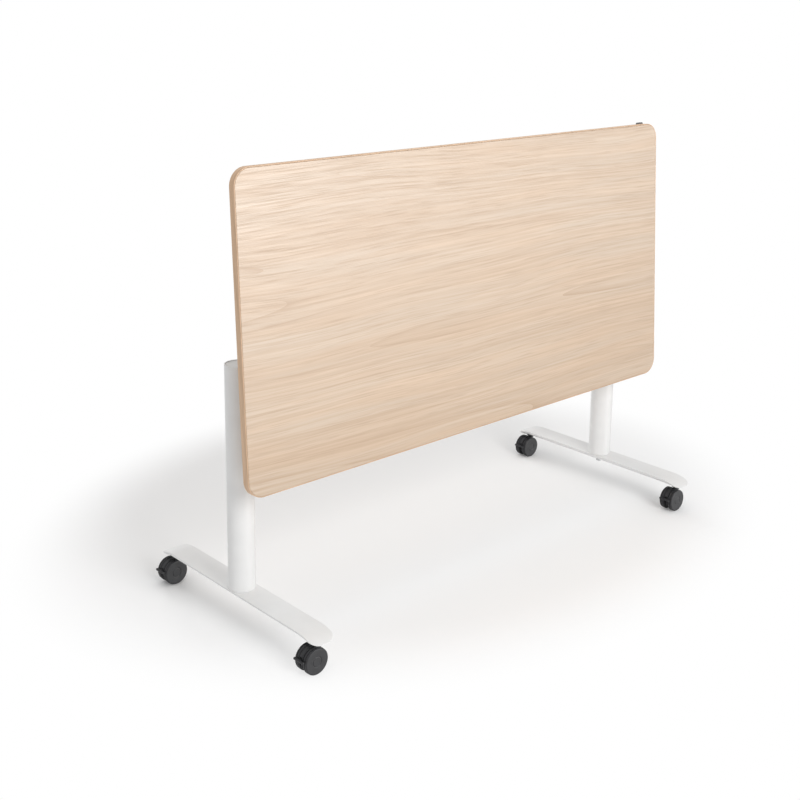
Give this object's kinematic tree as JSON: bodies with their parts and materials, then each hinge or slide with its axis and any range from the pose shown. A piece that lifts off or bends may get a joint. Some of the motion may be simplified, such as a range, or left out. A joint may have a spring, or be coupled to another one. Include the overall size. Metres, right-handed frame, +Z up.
{
  "type": "flip top training table",
  "caption": "Rectangular flip top training table, its wood look top tipped upright for nesting, on round column legs with flat castored feet and a latch released by a handle under the top.",
  "frame": {"origin": "on the floor midway between the columns", "axes": "+X along the table, +Y toward the rear, away from the tipped-up working face, +Z up"},
  "size_m": [1.4, 0.594, 1.0496],
  "materials": {
    "oak_laminate": "matt light oak laminate with fine grain along the table",
    "oak_edge": "matt oak look edge band, a little darker than the face",
    "white_powder_coat": "satin white powder coat",
    "white_cap": "matt white plastic",
    "charcoal_plastic": "fine grained charcoal plastic",
    "zinc_steel": "bright zinc plated steel",
    "dark_steel": "dark grey powder coat",
    "black_rubber": "matt black rubber"
  },
  "bodies": {
    "base_frame": {"foot_left": "white_powder_coat", "foot_right": "white_powder_coat", "column_left": "white_powder_coat", "column_right": "white_powder_coat", "column_cap_left": "white_cap", "column_cap_right": "white_cap", "column_plug_left": "zinc_steel", "column_plug_right": "zinc_steel", "column_bolt_left": "zinc_steel", "column_bolt_right": "zinc_steel", "crossbeam": "white_powder_coat", "hinge_bracket_left": "dark_steel", "hinge_bracket_right": "dark_steel", "pivot_pin_left": "zinc_steel", "pivot_pin_right": "zinc_steel", "lock_pin_left": "zinc_steel", "lock_pin_right": "zinc_steel", "lock_sleeve_left": "black_rubber", "lock_sleeve_right": "black_rubber", "flip_stop_left": "black_rubber", "flip_stop_right": "black_rubber", "caster_front_left_stem": "zinc_steel", "caster_front_right_stem": "zinc_steel", "caster_rear_left_stem": "zinc_steel", "caster_rear_right_stem": "zinc_steel"},
    "top": {"tabletop_board": "oak_laminate", "edge_band": "oak_edge", "link_plate": "dark_steel", "hinge_arm_left": "dark_steel", "hinge_arm_right": "dark_steel", "pivot_bush_left": "charcoal_plastic", "pivot_bush_right": "charcoal_plastic", "release_spring_left": "zinc_steel", "release_spring_right": "zinc_steel"},
    "release_bar": {"release_shaft": "zinc_steel", "release_handle": "charcoal_plastic", "latch_hook_left": "zinc_steel", "latch_hook_right": "zinc_steel"},
    "caster_front_left": {"caster_front_left_hood": "charcoal_plastic", "caster_front_left_axle": "zinc_steel"},
    "caster_front_left_wheel_outer": {"caster_front_left_wheel_outer": "charcoal_plastic"},
    "caster_front_left_wheel_inner": {"caster_front_left_wheel_inner": "charcoal_plastic"},
    "caster_front_left_brake": {"caster_front_left_brake": "charcoal_plastic"},
    "caster_front_right": {"caster_front_right_hood": "charcoal_plastic", "caster_front_right_axle": "zinc_steel"},
    "caster_front_right_wheel_outer": {"caster_front_right_wheel_outer": "charcoal_plastic"},
    "caster_front_right_wheel_inner": {"caster_front_right_wheel_inner": "charcoal_plastic"},
    "caster_front_right_brake": {"caster_front_right_brake": "charcoal_plastic"},
    "caster_rear_left": {"caster_rear_left_hood": "charcoal_plastic", "caster_rear_left_axle": "zinc_steel"},
    "caster_rear_left_wheel_outer": {"caster_rear_left_wheel_outer": "charcoal_plastic"},
    "caster_rear_left_wheel_inner": {"caster_rear_left_wheel_inner": "charcoal_plastic"},
    "caster_rear_left_brake": {"caster_rear_left_brake": "charcoal_plastic"},
    "caster_rear_right": {"caster_rear_right_hood": "charcoal_plastic", "caster_rear_right_axle": "zinc_steel"},
    "caster_rear_right_wheel_outer": {"caster_rear_right_wheel_outer": "charcoal_plastic"},
    "caster_rear_right_wheel_inner": {"caster_rear_right_wheel_inner": "charcoal_plastic"},
    "caster_rear_right_brake": {"caster_rear_right_brake": "charcoal_plastic"}
  },
  "joints": [
    {"name": "top_flip", "type": "hinge", "parent": "base_frame", "child": "top", "pos_m": [0, -0.032, 0.661], "axis": [-1, 0, 0], "range_deg": [0, 87]},
    {"name": "release_lever", "type": "hinge", "parent": "top", "child": "release_bar", "pos_m": [0, -0.06303, 0.73773], "axis": [1, 0, 0], "range_deg": [0, 18], "stiffness_Nm_per_rad": 1, "springref_deg": -17.19},
    {"name": "caster_front_left_swivel", "type": "hinge", "parent": "base_frame", "child": "caster_front_left", "pos_m": [-0.632, -0.268, 0.06], "axis": [0, 0, 1], "continuous": true},
    {"name": "caster_front_left_spin_outer", "type": "hinge", "parent": "caster_front_left", "child": "caster_front_left_wheel_outer", "pos_m": [-0.647, -0.268, 0.03], "axis": [0, 1, 0], "continuous": true},
    {"name": "caster_front_left_spin_inner", "type": "hinge", "parent": "caster_front_left", "child": "caster_front_left_wheel_inner", "pos_m": [-0.647, -0.268, 0.03], "axis": [0, 1, 0], "continuous": true},
    {"name": "caster_front_left_brake_press", "type": "hinge", "parent": "caster_front_left", "child": "caster_front_left_brake", "pos_m": [-0.664, -0.268, 0.0336], "axis": [0, -1, 0], "range_deg": [0, 18]},
    {"name": "caster_front_right_swivel", "type": "hinge", "parent": "base_frame", "child": "caster_front_right", "pos_m": [0.632, -0.268, 0.06], "axis": [0, 0, 1], "continuous": true},
    {"name": "caster_front_right_spin_outer", "type": "hinge", "parent": "caster_front_right", "child": "caster_front_right_wheel_outer", "pos_m": [0.617, -0.268, 0.03], "axis": [0, 1, 0], "continuous": true},
    {"name": "caster_front_right_spin_inner", "type": "hinge", "parent": "caster_front_right", "child": "caster_front_right_wheel_inner", "pos_m": [0.617, -0.268, 0.03], "axis": [0, 1, 0], "continuous": true},
    {"name": "caster_front_right_brake_press", "type": "hinge", "parent": "caster_front_right", "child": "caster_front_right_brake", "pos_m": [0.6, -0.268, 0.0336], "axis": [0, -1, 0], "range_deg": [0, 18]},
    {"name": "caster_rear_left_swivel", "type": "hinge", "parent": "base_frame", "child": "caster_rear_left", "pos_m": [-0.632, 0.268, 0.06], "axis": [0, 0, 1], "continuous": true},
    {"name": "caster_rear_left_spin_outer", "type": "hinge", "parent": "caster_rear_left", "child": "caster_rear_left_wheel_outer", "pos_m": [-0.647, 0.268, 0.03], "axis": [0, 1, 0], "continuous": true},
    {"name": "caster_rear_left_spin_inner", "type": "hinge", "parent": "caster_rear_left", "child": "caster_rear_left_wheel_inner", "pos_m": [-0.647, 0.268, 0.03], "axis": [0, 1, 0], "continuous": true},
    {"name": "caster_rear_left_brake_press", "type": "hinge", "parent": "caster_rear_left", "child": "caster_rear_left_brake", "pos_m": [-0.664, 0.268, 0.0336], "axis": [0, -1, 0], "range_deg": [0, 18]},
    {"name": "caster_rear_right_swivel", "type": "hinge", "parent": "base_frame", "child": "caster_rear_right", "pos_m": [0.632, 0.268, 0.06], "axis": [0, 0, 1], "continuous": true},
    {"name": "caster_rear_right_spin_outer", "type": "hinge", "parent": "caster_rear_right", "child": "caster_rear_right_wheel_outer", "pos_m": [0.617, 0.268, 0.03], "axis": [0, 1, 0], "continuous": true},
    {"name": "caster_rear_right_spin_inner", "type": "hinge", "parent": "caster_rear_right", "child": "caster_rear_right_wheel_inner", "pos_m": [0.617, 0.268, 0.03], "axis": [0, 1, 0], "continuous": true},
    {"name": "caster_rear_right_brake_press", "type": "hinge", "parent": "caster_rear_right", "child": "caster_rear_right_brake", "pos_m": [0.6, 0.268, 0.0336], "axis": [0, -1, 0], "range_deg": [0, 18]}
  ]
}
